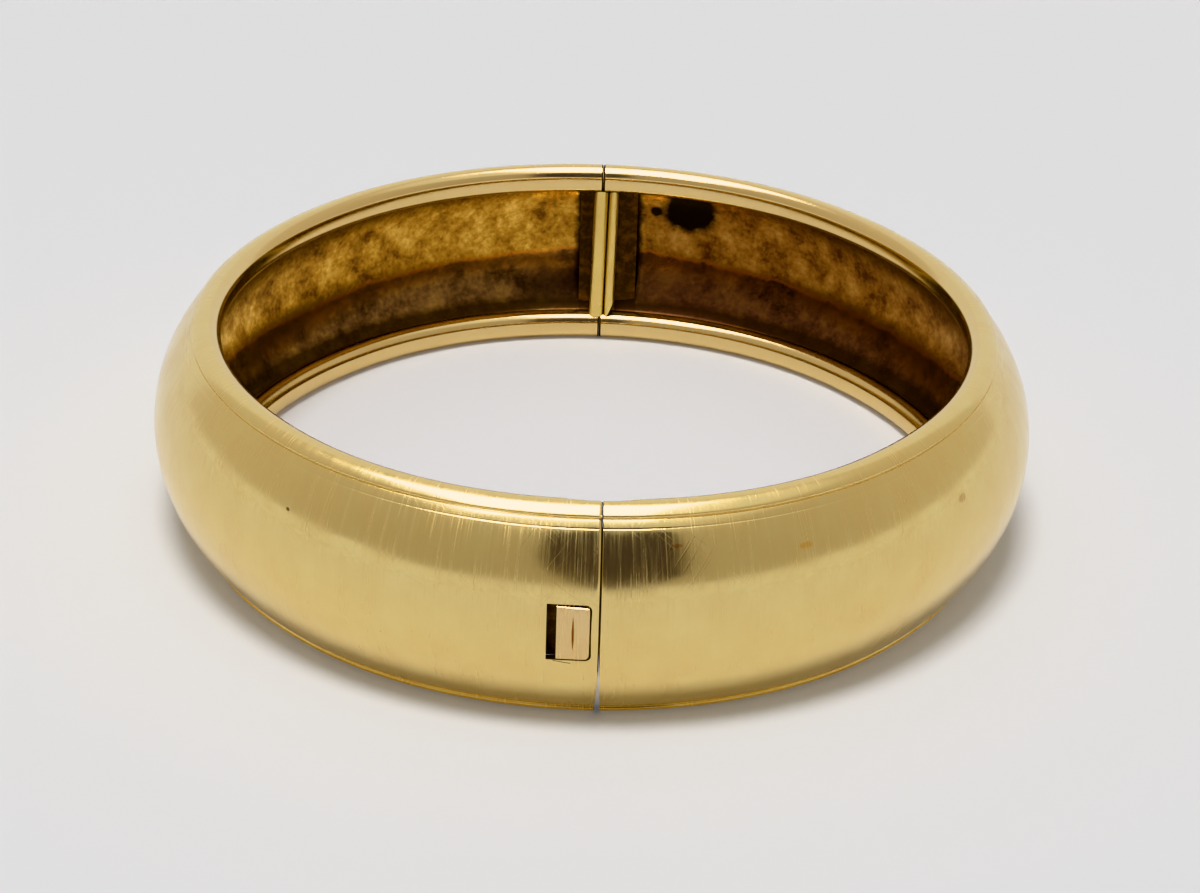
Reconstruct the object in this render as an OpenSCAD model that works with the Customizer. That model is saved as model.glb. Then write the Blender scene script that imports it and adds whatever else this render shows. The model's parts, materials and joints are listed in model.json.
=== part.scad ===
// Hinged bangle with a hollow domed band, lying on one of its two rims.
// It opens on a barrel hinge at the back (+Y) and is held by a sprung catch at the front (-Y).
// Origin: middle of the wrist opening, on the plane that the lower rim rests on.

/* [Wrist opening] */
// Depth of the opening between the rims, from the catch to the hinge
opening_d = 60; // [56:0.5:66]
// How oval the opening is: at 0.9 it is 6.1 mm narrower from side to side than it is deep
oval = 0.9; // [0.6:0.1:1]
// How far the two seams lie to the right of the middle
seam_x = 0.6; // [0:0.1:1]

/* [Band] */
// Height of the band, rim to rim
band_h = 15.1; // [14.5:0.1:16]
// Thickness of the band, from the rims' inner faces to the crown of the dome
band_t = 4.9; // [4.7:0.1:5.1]
// Thickness of the sheet gold that the dome is pressed from
sheet_t = 0.6; // [0.5:0.05:0.7]
// Width of each rim, along the wrist's radius
rim_w = 2.1; // [2:0.05:2.2]
// Height of each rim
rim_h = 2.05; // [1.95:0.05:2.2]
// Radius of the rounding along each of a rim's four edges
rim_crown_r = 0.95; // [0.9:0.01:0.97]
// Width of the narrow flat between the roundings, on which the band rests
rim_flat_w = 0.5; // [0.4:0.05:0.6]
// Distance of the dome's edges from the band's upper and lower edge
dome_edge_d = 0.75; // [0.65:0.05:0.85]
// Radius of the fine groove between each rim and the dome
groove_r = 0.16; // [0.1:0.01:0.2]

/* [Seams] */
// Gap between the two halves
seam_gap = 0.1; // [0.08:0.02:0.16]
// Gap between the halves at the foot of the front seam, where they no longer meet
seam_foot_gap = 0.3; // [0.1:0.02:0.4]
// Height up to which the front seam gapes
seam_foot_h = 3.5; // [2:0.5:5]

/* [Hinge] */
// Thickness of the bar that closes the left half at the hinge
left_bar_t = 1.1; // [1:0.1:1.3]
// Thickness of the bar that closes the right half at the hinge, where it shows
right_bar_t = 0.77; // [0.7:0.01:0.85]
// How far the line between the bars lies past the seam
bar_lap = 0.4; // [0.3:0.05:0.45]
// Gap between the bars
bar_gap = 0.12; // [0.1:0.02:0.16]
// Distance of the hinge pin's axis from the rims' inner faces
hinge_r = 3.85; // [3.8:0.05:3.9]
// Outer radius of the knuckles
knuckle_r = 1; // [0.95:0.05:1]
// Height of the hinge, over all three knuckles
hinge_h = 8.4; // [8:0.1:8.6]
// Height of the right half's middle knuckle
mid_knuckle_h = 3.4; // [3:0.1:4]
// Radius of the hinge pin
pin_r = 0.45; // [0.4:0.05:0.5]
// Gap between the pin and its bore
pin_gap = 0.05; // [0.03:0.01:0.06]

/* [Catch] */
// Length along the band of the window for the thumb piece
window_l = 2.85; // [2.8:0.05:3]
// Height of the window
window_h = 4; // [3.8:0.1:4]
// Width of the bridge between the window and the seam, which the thumb piece latches behind
bridge_w = 0.55; // [0.5:0.05:0.6]
// Length along the band of the thumb piece
thumb_l = 2.12; // [2:0.02:2.2]
// Gap between the thumb piece and the window's edges
thumb_gap = 0.1; // [0.08:0.01:0.1]
// How far the bridge's edge is cut back under the surface, so that the thumb piece swings in past it
bridge_undercut = 0.15; // [0.14:0.01:0.16]
// Radius of the thumb piece's two corners at the bridge
thumb_corner_r = 0.5; // [0.3:0.1:0.7]
// Depth of the line filed straight across the thumb piece, which runs out as the piece curves away
line_d = 0.1; // [0.06:0.01:0.14]
// How far the tongue reaches into the left half
tongue_l = 8; // [7.5:0.1:8.5]
// Height of the tongue and its spring leaf
tongue_h = 4.6; // [4.4:0.1:4.8]
// Thickness of the tongue
tongue_t = 0.5; // [0.4:0.05:0.5]
// Thickness of the spring leaf
leaf_t = 0.4; // [0.35:0.05:0.45]
// Angle between the spring leaf and the seam's normal
leaf_angle = 7.3; // [7:0.1:7.6]

/* [Hidden] */
$fn = 128;

// The opening is an oval of four arcs, two ends and two flatter sides, which meet at 45 degrees.
// The arcs' centres lie arc_c from the middle, on the axes. The pair 5.741 and 8.119 are the side and
// the diagonal of a square to a few parts in a thousand million, so the arcs meet on the same face.
half_d = opening_d / 2;
arc_c = 5.741 * oval;
end_r = half_d - arc_c;
side_r = end_r + 8.119 * oval;
join_a = 45;
end_sweep = 75;

// The dome is an arc from groove to groove
mid_h = band_h / 2;
dome_rise = band_t - rim_w;
dome_half_h = mid_h - dome_edge_d;
dome_r = (dome_half_h * dome_half_h + dome_rise * dome_rise) / (2 * dome_rise);
dome_c = band_t - dome_r;
dome_seat = 0.3;
// The roundings' arcs would reach a little past the rim's faces, and so they cross them
rim_crown_past = 0.01;
rim_crown_x = rim_crown_r - rim_crown_past;
rim_mid_w = rim_w - 2 * rim_crown_x;
rim_crown_cut = (rim_flat_w - rim_mid_w) / 2;
rim_crown_h = sqrt(rim_crown_r * rim_crown_r - rim_crown_cut * rim_crown_cut);
// How far the groove's middle lies above the dome's edge
groove_up = 0.1;

// The bars and plates that close the halves stop just short of the rims' inner faces
plate_inset = 0.2;
plate_seat = 0.4;
catch_lip_d = 0.9;
catch_plate_t = 0.45;
seam_plate_t = 0.8;
plate_sweep = 60;

// How far a cut reaches past what it cuts, and a length that is more than any half's
past = 1;
reach = 45;

// Hinge, with the breaks between its knuckles
hinge_y = half_d + hinge_r;
hinge_z = [mid_h - hinge_h / 2, mid_h - mid_knuckle_h / 2, mid_h + mid_knuckle_h / 2, mid_h + hinge_h / 2];
knuckle_gap = 0.2;
knuckle_room = 0.12;
relief_w = 2.5;
relief_h = hinge_h + 0.8;

// The left half's walls have a lip that laps past the seam into a rebate of the right half's, clear of its rims
lip_d = 1.3;
lip_gap = 0.09;
rebate_gap = 0.15;
bars_x = seam_x + bar_lap;
left_bar_x = bars_x - bar_gap / 2 - left_bar_t;
right_bar_x = bars_x + bar_gap / 2 + right_bar_t;

// Behind the bars, the walls widen into seats that the knuckles are soldered to
seat_r = 2.7;
seat_l = 1;

// Catch, measured inwards from the seam and from the hinge's axis
window_from_r = band_t - 1.4;
window_to_r = band_t + 0.4;
window_corner_r = thumb_corner_r + thumb_gap;
thumb_flush = 0.04;
thumb_foot_r = 3.5;
thumb_sweep = 40;
tongue_far_r = 2.3;
tongue_r = hinge_y + half_d + tongue_far_r;
tongue_z = mid_h - tongue_h / 2;
fold_t = 0.45;
fold_foot_r = 1.6;
fold_r = 2.9;
leaf_gap = 0.1;
leaf_r = fold_r - leaf_t;
slot_h = tongue_h + 0.5;
slot_r = 1.55;
leaf_l = (tongue_l - fold_t - leaf_gap - seam_gap) / cos(leaf_angle);

// Section swept about one of the arcs' centres
module arc_sector(r, centre, start, sweep)
  translate(centre) rotate_extrude(angle = sweep, start = start) translate([r, 0]) children();

// Section swept along the right-hand side arc and both end arcs, a little past the seams
module half_ring() {
  arc_sector(side_r, [-arc_c, 0, 0], -join_a, 2 * join_a) children();
  arc_sector(end_r, [0, arc_c, 0], join_a, end_sweep) children();
  arc_sector(end_r, [0, -arc_c, 0], -join_a - end_sweep, end_sweep) children();
}

// Rounded lower and upper part of the wire that a rim is made of, grown by a gap
module rim_wire(gap)
  for (z = [rim_crown_h, rim_h - rim_crown_h]) {
    for (x = [rim_crown_x, rim_w - rim_crown_x]) translate([x, z]) circle(rim_crown_r + gap);
    translate([rim_crown_x, z - rim_crown_r - gap]) square([rim_mid_w, 2 * (rim_crown_r + gap)]);
  }

// Rim section: nearly round, with narrow flats on all four sides
module rim_section()
  intersection() {
    square([rim_w, rim_h]);
    union() {
      rim_wire(0);
      translate([0, rim_crown_h]) square([rim_w, rim_h - 2 * rim_crown_h]);
    }
  }

// The same at both edges of the band
module at_both_edges() {
  children();
  translate([0, band_h]) mirror([0, 1]) children();
}

// Disc whose edge is the dome's arc, or lies some way inside it
module dome_disc(inset)
  translate([dome_c, mid_h]) circle(dome_r - inset);

// Band section: two rims and the dome's sheet between them, with a groove at each joint
module band_section()
  difference() {
    union() {
      at_both_edges() rim_section();
      intersection() {
        difference() {
          dome_disc(0);
          dome_disc(sheet_t);
        }
        translate([rim_w - dome_seat, 0]) square([band_t, band_h]);
      }
    }
    at_both_edges() translate([rim_w, dome_edge_d - groove_up]) circle(groove_r);
  }

// Section of a plate that fills the band from the dome to the rims' inner faces
module plate_section()
  intersection() {
    dome_disc(sheet_t / 2);
    translate([plate_inset, rim_h - plate_seat]) square([band_t, band_h - 2 * (rim_h - plate_seat)]);
  }

// Everything past the seams, on the side that a half doesn't reach
module past_seam(right) {
  side = right ? -1 : 1;
  edge = seam_x - side * seam_gap / 2;
  foot = seam_x - side * seam_foot_gap / 2;
  far = side * 2 * reach;
  rotate([90, 0, 0]) linear_extrude(reach)
    polygon([[foot, -past], [foot, 0], [edge, seam_foot_h], [edge, band_h + past], [far, band_h + past],
      [far, -past]]);
  translate([right ? edge - 2 * reach : edge, -past, -past]) cube([2 * reach, reach, band_h + 2 * past]);
}

// Section swept about the end arc at the hinge or the catch, between two distances along X
module across_band(back, from_x, to_x, sweep = plate_sweep)
  intersection() {
    arc_sector(end_r, [0, back ? arc_c : -arc_c, 0], (back ? 90 : -90) - sweep / 2, sweep) children();
    translate([from_x, back ? 0 : -reach, 0]) cube([to_x - from_x, reach, band_h]);
  }

// Left half's lip at a seam, which laps past it and closes it from within
module lip(back, depth)
  across_band(back, seam_x - seam_gap, bars_x - bar_gap / 2)
    difference() {
      translate([plate_inset, rim_crown_h]) square([depth, band_h - 2 * rim_crown_h]);
      at_both_edges() union() {
        rim_wire(lip_gap);
        square([rim_w, rim_h - rim_crown_h]);
      }
    }

// Right half's wall at a seam, rebated for the lip
module right_wall(back, to_x, rebate_r)
  difference() {
    across_band(back, seam_x, to_x) plate_section();
    translate([seam_x - past, back ? 0 : -half_d - rebate_r, 0])
      cube([past + bar_lap + bar_gap / 2, half_d + rebate_r, band_h]);
  }

// Wide outer part of a wall at the hinge
module hinge_seat(from_x, to_x)
  across_band(true, from_x, to_x)
    intersection() {
      plate_section();
      translate([seat_r, 0]) square([band_t, band_h]);
    }

module knuckle(low, high, r)
  translate([seam_x, hinge_y, low]) cylinder(h = high - low, r = r);

// Room that a half leaves outside the hinge's axis, so that it can swing open
module hinge_relief()
  translate([seam_x - relief_w / 2, hinge_y, mid_h - relief_h / 2]) cube([relief_w, band_t, relief_h]);

// Outline seen from the front, between two distances from the seam, with rounded corners at the bridge
module front_outline(far, near, half_h, corner_r) {
  translate([-far, -half_h]) square([far - near - corner_r, 2 * half_h]);
  translate([-near - 2 * corner_r, -half_h + corner_r]) square([2 * corner_r, 2 * (half_h - corner_r)]);
  for (s = [-1, 1]) translate([-near - corner_r, s * (half_h - corner_r)]) circle(corner_r);
}

// Extrudes an outline outwards from a distance
module outwards(from_r, t)
  translate([seam_x, -half_d - from_r, mid_h]) rotate([90, 0, 0]) linear_extrude(t) children();

// Window through the dome, whose edge at the bridge slants back as it goes in
module window() {
  slant = bridge_undercut / sheet_t;
  far = -bridge_w - window_l;
  intersection() {
    translate([seam_x, -half_d, mid_h - window_h / 2]) linear_extrude(window_h)
      polygon([[far, -window_from_r], [far, -window_to_r],
        [-bridge_w - slant * (window_to_r - band_t), -window_to_r],
        [-bridge_w + slant * (band_t - window_from_r), -window_from_r]]);
    outwards(window_from_r, band_t)
      front_outline(window_l + bridge_w + past, bridge_w - bridge_undercut, window_h / 2, window_corner_r);
  }
}

// Box in the catch's own terms: inwards from the seam, and outwards from the rims' inner face
module catch_box(from_seam, to_seam, low_r, high_r, h)
  translate([seam_x - from_seam, -half_d - high_r, mid_h - h / 2])
    cube([from_seam - to_seam, high_r - low_r, h]);

// Left half: window, slotted plate and two knuckles
module left_half() color("#d8b052") difference() {
  union() {
    difference() {
      union() {
        mirror([1, 0, 0]) half_ring() band_section();
        across_band(true, left_bar_x, seam_x) plate_section();
        hinge_seat(left_bar_x - seat_l, seam_x);
        difference() {
          across_band(false, seam_x - catch_plate_t, seam_x) plate_section();
          catch_box(past, -past, slot_r, band_t, slot_h);
        }
      }
      past_seam(false);
      hinge_relief();
      knuckle(hinge_z[1] - knuckle_gap / 4, hinge_z[2] + knuckle_gap / 4, knuckle_r + knuckle_room);
      window();
    }
    lip(true, lip_d);
    lip(false, catch_lip_d);
    knuckle(hinge_z[0], hinge_z[1] - knuckle_gap / 2, knuckle_r);
    knuckle(hinge_z[2] + knuckle_gap / 2, hinge_z[3], knuckle_r);
  }
  knuckle(0, band_h, pin_r + pin_gap);
}

// Tongue: a strip on an arc about the hinge's axis, folded up at its tip
module tongue() {
  intersection() {
    translate([seam_x, hinge_y, tongue_z]) difference() {
      cylinder(h = tongue_h, r = tongue_r);
      translate([0, 0, -past]) cylinder(h = tongue_h + 2 * past, r = tongue_r - tongue_t);
    }
    catch_box(tongue_l, -seam_plate_t / 2, 0, fold_r, tongue_h + past);
  }
  catch_box(tongue_l, tongue_l - fold_t, fold_foot_r, fold_r, tongue_h);
}

// Right half: tongue and one knuckle
module right_half() color("#d3a449") difference() {
  union() {
    difference() {
      union() {
        half_ring() band_section();
        right_wall(true, right_bar_x, plate_inset + lip_d + rebate_gap);
        right_wall(false, seam_x + seam_plate_t, plate_inset + catch_lip_d + rebate_gap);
        hinge_seat(seam_x, right_bar_x + seat_l);
      }
      past_seam(true);
      hinge_relief();
      knuckle(hinge_z[0] - knuckle_gap, hinge_z[1] - knuckle_gap / 4, knuckle_r + knuckle_room);
      knuckle(hinge_z[2] + knuckle_gap / 4, hinge_z[3] + knuckle_gap, knuckle_r + knuckle_room);
    }
    knuckle(hinge_z[1] + knuckle_gap / 2, hinge_z[2] - knuckle_gap / 2, knuckle_r);
    tongue();
  }
  knuckle(0, band_h, pin_r + pin_gap);
}

module hinge_pin() color("#c9a04c") knuckle(hinge_z[0], hinge_z[3], pin_r);

// Thumb piece, with a filed line, soldered to the leaf that springs it outwards
module thumb_piece() color("#dca877") {
  near = bridge_w + thumb_gap;
  difference() {
    intersection() {
      across_band(false, -reach, reach, thumb_sweep) dome_disc(thumb_flush);
      outwards(thumb_foot_r, band_t)
        front_outline(near + thumb_l, near, window_h / 2 - thumb_gap, thumb_corner_r);
    }
    translate([seam_x - near - thumb_l / 2, line_d + thumb_flush - half_d - band_t, 0])
      rotate([0, 0, -135]) cube([past, past, band_h]);
  }
  translate([seam_x - tongue_l + fold_t + leaf_gap, -half_d - leaf_r, tongue_z]) rotate([0, 0, -leaf_angle])
    translate([0, -leaf_t, 0]) cube([leaf_l, leaf_t, tongue_h]);
}

left_half();
right_half();
hinge_pin();
thumb_piece();
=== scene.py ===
"""A hinged gold bangle with a hollow domed band, lying on one of its rims on a pale floor.

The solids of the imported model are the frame. Each half, the hinge and the catch are modelled again
around it with rounded edges and finished surfaces. Sizes are in millimetres until a piece is finished,
and the axes are the frame's: +Y towards the hinge, -Y towards the catch, z up from the floor.
"""

import json
import logging
import math
from dataclasses import dataclass
from enum import Enum

import bmesh
import bpy
from mathutils import Matrix, Vector


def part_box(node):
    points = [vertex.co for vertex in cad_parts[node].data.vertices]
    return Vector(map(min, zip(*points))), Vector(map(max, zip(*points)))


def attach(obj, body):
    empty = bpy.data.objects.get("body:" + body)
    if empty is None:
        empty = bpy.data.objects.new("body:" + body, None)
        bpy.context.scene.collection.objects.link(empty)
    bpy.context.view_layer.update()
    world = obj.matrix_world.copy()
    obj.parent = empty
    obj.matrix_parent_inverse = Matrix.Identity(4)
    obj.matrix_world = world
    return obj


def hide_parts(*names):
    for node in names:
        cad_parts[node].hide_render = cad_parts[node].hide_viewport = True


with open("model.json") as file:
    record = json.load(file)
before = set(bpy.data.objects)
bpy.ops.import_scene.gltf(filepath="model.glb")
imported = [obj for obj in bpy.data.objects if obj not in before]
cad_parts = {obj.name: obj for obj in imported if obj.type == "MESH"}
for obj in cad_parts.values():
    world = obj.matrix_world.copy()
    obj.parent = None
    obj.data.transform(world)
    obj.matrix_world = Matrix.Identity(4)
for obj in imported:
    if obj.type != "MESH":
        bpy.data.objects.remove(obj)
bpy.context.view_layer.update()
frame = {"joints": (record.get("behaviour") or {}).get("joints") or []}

log = logging.getLogger("bangle")

MM = 0.001

# Short names for types
Mesh = bmesh.types.BMesh
Vert = bmesh.types.BMVert
Edge = bmesh.types.BMEdge
Tree = bpy.types.NodeTree
Socket = bpy.types.NodeSocket
Pair = tuple[float, float]
Triple = tuple[float, float, float]


class Side(Enum):
    """The two halves of the bangle, with the direction in which each lies from the seams."""

    LEFT = -1
    RIGHT = 1

    @property
    def body(self) -> str:
        """Name of the body that the half is."""
        return self.name.lower()


class Slot(Enum):
    """The record's material slots."""

    YELLOW = "yellow_gold"
    PIN = "pin_gold"
    ROSE = "rose_gold"


# Helpers


def hex_colour(code: str) -> tuple[float, float, float, float]:
    """Turns an sRGB hex colour into the linear colour that the shaders take.

    Args:
        code: Six hex digits, with or without a leading hash.

    Returns:
        Linear red, green and blue, and an alpha of 1.
    """
    digits = code.lstrip("#")
    channels = [int(digits[i:i + 2], 16) / 255 for i in (0, 2, 4)]
    linear = [c / 12.92 if c <= 0.04045 else ((c + 0.055) / 1.055) ** 2.4 for c in channels]
    return (*linear, 1.0)


def per_metre(size_mm: float) -> float:
    """Gives the texture scale, in repeats to the metre, of a pattern whose features are that wide."""
    return 1000 / size_mm


def add_node(
    tree: Tree, kind: str, inputs: dict[str | int, object] | None = None, **settings: object
) -> bpy.types.NodeOutputs:
    """Adds a node to a tree, with its values, its links and its settings.

    Args:
        tree: The tree that the node goes into.
        kind: Blender's name of the node's type, after ShaderNode.
        inputs: What goes into each input, by name or index: an output socket is linked, and anything
            else is set as the value.
        settings: Attributes of the node.

    Returns:
        The new node's outputs.
    """
    node = tree.nodes.new(f"ShaderNode{kind}")
    for name, value in settings.items():
        setattr(node, name, value)
    for key, value in (inputs or {}).items():
        if isinstance(value, Socket):
            tree.links.new(value, node.inputs[key])
        else:
            node.inputs[key].default_value = value
    return node.outputs


def unrolled(tree: Tree, place: Socket) -> Socket:
    """Unrolls the band, so that a pattern keeps its direction all the way round.

    Args:
        tree: The material's tree.
        place: The coordinates of the surface.

    Returns:
        A vector whose x is the way round the band from the catch, and whose z is the height, in metres.
    """
    split = add_node(tree, "SeparateXYZ", {0: place})
    front = add_node(tree, "Math", {0: split[1], 1: -1.0}, operation="MULTIPLY")[0]
    angle = add_node(tree, "Math", {0: split[0], 1: front}, operation="ARCTAN2")[0]
    way = add_node(tree, "Math", {0: angle, 1: 32 * MM}, operation="MULTIPLY")[0]
    return add_node(tree, "CombineXYZ", {0: way, 1: 0.0, 2: split[2]})[0]


def empty_material(name: str) -> tuple[bpy.types.Material, Tree, Socket]:
    """Starts a material, and returns it with its empty tree and the coordinates of the surface."""
    material = bpy.data.materials.new(name)
    material.use_nodes = True
    tree = material.node_tree
    tree.nodes.clear()
    return material, tree, add_node(tree, "TexCoord")["Object"]


def bare_metal(tree: Tree, inputs: dict[str, object]) -> None:
    """Ends a material's tree in a surface of bare metal, whose colour and finish are the inputs."""
    shader = add_node(tree, "BsdfPrincipled", {"Metallic": 1.0, **inputs})
    add_node(tree, "OutputMaterial", {"Surface": shader[0]})


def only(geom: list, kind: type) -> list:
    """Picks the elements of one kind out of what an operator returns."""
    return [g for g in geom if isinstance(g, kind)]


def move(mesh: Mesh, way: Triple) -> None:
    """Moves a whole mesh."""
    bmesh.ops.translate(mesh, vec=way, verts=mesh.verts[:])


def turn_about(mesh: Mesh, axis: str, angle: float) -> None:
    """Turns a whole mesh about the X, Y or Z axis."""
    bmesh.ops.rotate(mesh, cent=(0, 0, 0), matrix=Matrix.Rotation(angle, 3, axis), verts=mesh.verts[:])


def spin(
    mesh: Mesh,
    geom: list,
    centre: Triple,
    angle: float,
    steps: int,
    axis: Triple = (0, 0, 1),
    full: bool = False,
) -> list:
    """Sweeps vertices and edges round an axis.

    Args:
        mesh: The mesh.
        geom: Its vertices and edges that are swept.
        centre: A point on the axis.
        angle: How far they are swept.
        steps: Number of faces along the sweep.
        axis: Direction of the axis.
        full: Whether the end meets the start and is merged with it.

    Returns:
        The vertices and edges at the end of the sweep.
    """
    return bmesh.ops.spin(
        mesh, geom=geom, cent=centre, axis=axis, angle=angle, steps=steps, use_merge=full, use_duplicate=False
    )["geom_last"]


def circles_meet(a: Pair, a_r: float, b: Pair, b_r: float, left: bool) -> Pair:
    """Finds a point where two circles cross.

    Args:
        a: Centre of the first circle.
        a_r: Its radius.
        b: Centre of the second circle.
        b_r: Its radius.
        left: Whether to take the point on the left, looking from the first centre to the second.

    Returns:
        The point.
    """
    across = Vector(b) - Vector(a)
    distance = across.length
    along = (distance**2 + a_r**2 - b_r**2) / (2 * distance)
    off = math.sqrt(a_r**2 - along**2) * (1 if left else -1)
    unit = across / distance
    return (a[0] + unit.x * along - unit.y * off, a[1] + unit.y * along + unit.x * off)


class Pen:
    """Draws a section as a chain of edges in the XZ plane, where x is the distance outwards."""

    def __init__(self, x: float, z: float) -> None:
        """Sets the pen down at a point."""
        self.mesh = bmesh.new()
        self.first = self.mesh.verts.new((x, 0, z))
        self.tip = self.first

    def line_to(self, x: float, z: float) -> Vert:
        """Draws a straight run to a point, and returns the vertex there."""
        end = self.mesh.verts.new((x, 0, z))
        self.mesh.edges.new((self.tip, end))
        self.tip = end
        return end

    def arc_to(self, centre: Pair, end: Pair, steps: int, clockwise: bool = True) -> Vert:
        """Draws an arc about a centre, as far as the direction in which the end lies.

        Args:
            centre: Centre of the arc.
            end: Point where the arc ends.
            steps: Number of edges along the arc.
            clockwise: Whether the pen turns clockwise, with x to the right and z up.

        Returns:
            The vertex at the end.
        """
        start_a = math.atan2(self.tip.co.z - centre[1], self.tip.co.x - centre[0])
        end_a = math.atan2(end[1] - centre[1], end[0] - centre[0])
        turn = (start_a - end_a) % math.tau
        angle = turn if clockwise else turn - math.tau
        end_of_arc = spin(self.mesh, [self.tip], (centre[0], 0, centre[1]), angle, steps, axis=(0, 1, 0))
        self.tip = only(end_of_arc, Vert)[0]
        return self.tip

    def close(self) -> None:
        """Joins the tip to the first vertex."""
        self.mesh.edges.new((self.tip, self.first))


def round_edges(mesh: Mesh, edges: list[Edge], width: float, steps: int = 2) -> None:
    """Rounds edges of a mesh.

    Args:
        mesh: The mesh.
        edges: Its edges that are rounded.
        width: How far the rounding reaches from each edge.
        steps: Number of faces across the rounding.
    """
    bmesh.ops.bevel(
        mesh,
        geom=edges,
        offset=width,
        offset_type="OFFSET",
        segments=steps,
        profile=0.5,
        affect="EDGES",
        clamp_overlap=True,
        material=-1,
    )


def sharp_edges(mesh: Mesh, angle_deg: float = 30) -> list[Edge]:
    """Finds the edges at which the surface turns by more than an angle."""
    mesh.normal_update()
    limit = math.radians(angle_deg)
    return [e for e in mesh.edges if len(e.link_faces) == 2 and e.calc_face_angle(0) > limit]


def extrude_faces(mesh: Mesh, faces: list[bmesh.types.BMFace], vector: Triple) -> list[Vert]:
    """Extrudes faces into a closed solid.

    Args:
        mesh: The mesh.
        faces: The faces, which stay as the solid's first end.
        vector: How far the other end is moved.

    Returns:
        The vertices of the moved end.
    """
    made = bmesh.ops.extrude_face_region(mesh, geom=faces, use_keep_orig=True)["geom"]
    verts = only(made, Vert)
    bmesh.ops.translate(mesh, vec=vector, verts=verts)
    return verts


def prism(pen: Pen, low_y: float, high_y: float) -> Mesh:
    """Closes an outline, and extrudes it along Y into a solid."""
    pen.close()
    face = bmesh.ops.contextual_create(pen.mesh, geom=pen.mesh.edges[:])["faces"]
    move(pen.mesh, (0, low_y, 0))
    extrude_faces(pen.mesh, face, (0, high_y - low_y, 0))
    bmesh.ops.recalc_face_normals(pen.mesh, faces=pen.mesh.faces)
    return pen.mesh


def upright(pen: Pen, low_z: float, high_z: float) -> Mesh:
    """Closes an outline drawn in x and y, and extrudes it upwards into a solid."""
    mesh = prism(pen, -high_z, -low_z)
    turn_about(mesh, "X", math.radians(-90))
    return mesh


def cut_off(mesh: Mesh, point: Triple, normal: Triple) -> None:
    """Cuts a solid along a plane, takes away the side that the normal points to, and closes the cut."""
    cut = bmesh.ops.bisect_plane(
        mesh,
        geom=mesh.verts[:] + mesh.edges[:] + mesh.faces[:],
        dist=1e-5,
        plane_co=point,
        plane_no=normal,
        clear_outer=True,
    )["geom_cut"]
    bmesh.ops.contextual_create(mesh, geom=only(cut, Edge))
    bmesh.ops.recalc_face_normals(mesh, faces=mesh.faces)


def spun_solid(pen: Pen, centre: Pair, from_a: float, to_a: float, steps: int) -> Mesh:
    """Closes an outline, and spins it about an upright axis into a solid at the front.

    Args:
        pen: The outline, in distances from the axis and heights.
        centre: x and y of the axis.
        from_a: Angle at which the solid starts, from the front (-Y) towards +X.
        to_a: Angle at which it ends.
        steps: Number of faces along it.

    Returns:
        The solid.
    """
    pen.close()
    mesh = pen.mesh
    turn_about(mesh, "Z", from_a - math.pi / 2)
    move(mesh, (*centre, 0))
    first = mesh.edges[:]
    last = spin(mesh, mesh.verts[:] + first, (*centre, 0), to_a - from_a, steps)
    for edges in (first, only(last, Edge)):
        bmesh.ops.contextual_create(mesh, geom=edges)
    bmesh.ops.recalc_face_normals(mesh, faces=mesh.faces)
    return mesh


def block(low: Triple, high: Triple, rounding: float = 0, steps: int = 2) -> Mesh:
    """Makes a rectangular block between two corners.

    Args:
        low: Lowest corner.
        high: Highest corner.
        rounding: Width of the rounding along all edges, or 0 for none.
        steps: Number of faces across the rounding.

    Returns:
        The block.
    """
    mesh = bmesh.new()
    size = Vector(high) - Vector(low)
    middle = (Vector(high) + Vector(low)) / 2
    place = Matrix.Translation(middle) @ Matrix.Diagonal((*size, 1))
    bmesh.ops.create_cube(mesh, size=1, matrix=place)
    if rounding:
        round_edges(mesh, mesh.edges[:], rounding, steps)
    return mesh


def tube(
    centre: Pair, low: float, high: float, radius: float, bore: float, rounding: float, steps: int = 48
) -> Mesh:
    """Turns a tube, or a rod if it has no bore, about an upright axis.

    Args:
        centre: x and y of the axis.
        low: Height of its lower end.
        high: Height of its upper end.
        radius: Outer radius.
        bore: Radius of the bore, or 0 for none.
        rounding: Radius of the rounding along the outer edges.
        steps: Number of faces around it.

    Returns:
        The tube.
    """
    pen = Pen(bore, low)
    pen.line_to(radius - rounding, low)
    pen.arc_to((radius - rounding, low + rounding), (radius, low + rounding), 4, clockwise=False)
    pen.line_to(radius, high - rounding)
    pen.arc_to((radius - rounding, high - rounding), (radius - rounding, high), 4, clockwise=False)
    pen.line_to(bore, high)
    if bore:
        pen.close()
    mesh = pen.mesh
    spin(mesh, mesh.verts[:] + mesh.edges[:], (0, 0, 0), math.tau, steps, full=True)
    bmesh.ops.remove_doubles(mesh, verts=mesh.verts, dist=1e-4)
    move(mesh, (*centre, 0))
    bmesh.ops.recalc_face_normals(mesh, faces=mesh.faces)
    return mesh


def add_object(name: str, mesh: Mesh) -> bpy.types.Object:
    """Puts a mesh in millimetres into the scene, as an object at the origin, and frees it."""
    bmesh.ops.scale(mesh, vec=(MM, MM, MM), verts=mesh.verts)
    data = bpy.data.meshes.new(name)
    mesh.to_mesh(data)
    mesh.free()
    piece = bpy.data.objects.new(name, data)
    bpy.context.scene.collection.objects.link(piece)
    return piece


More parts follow.
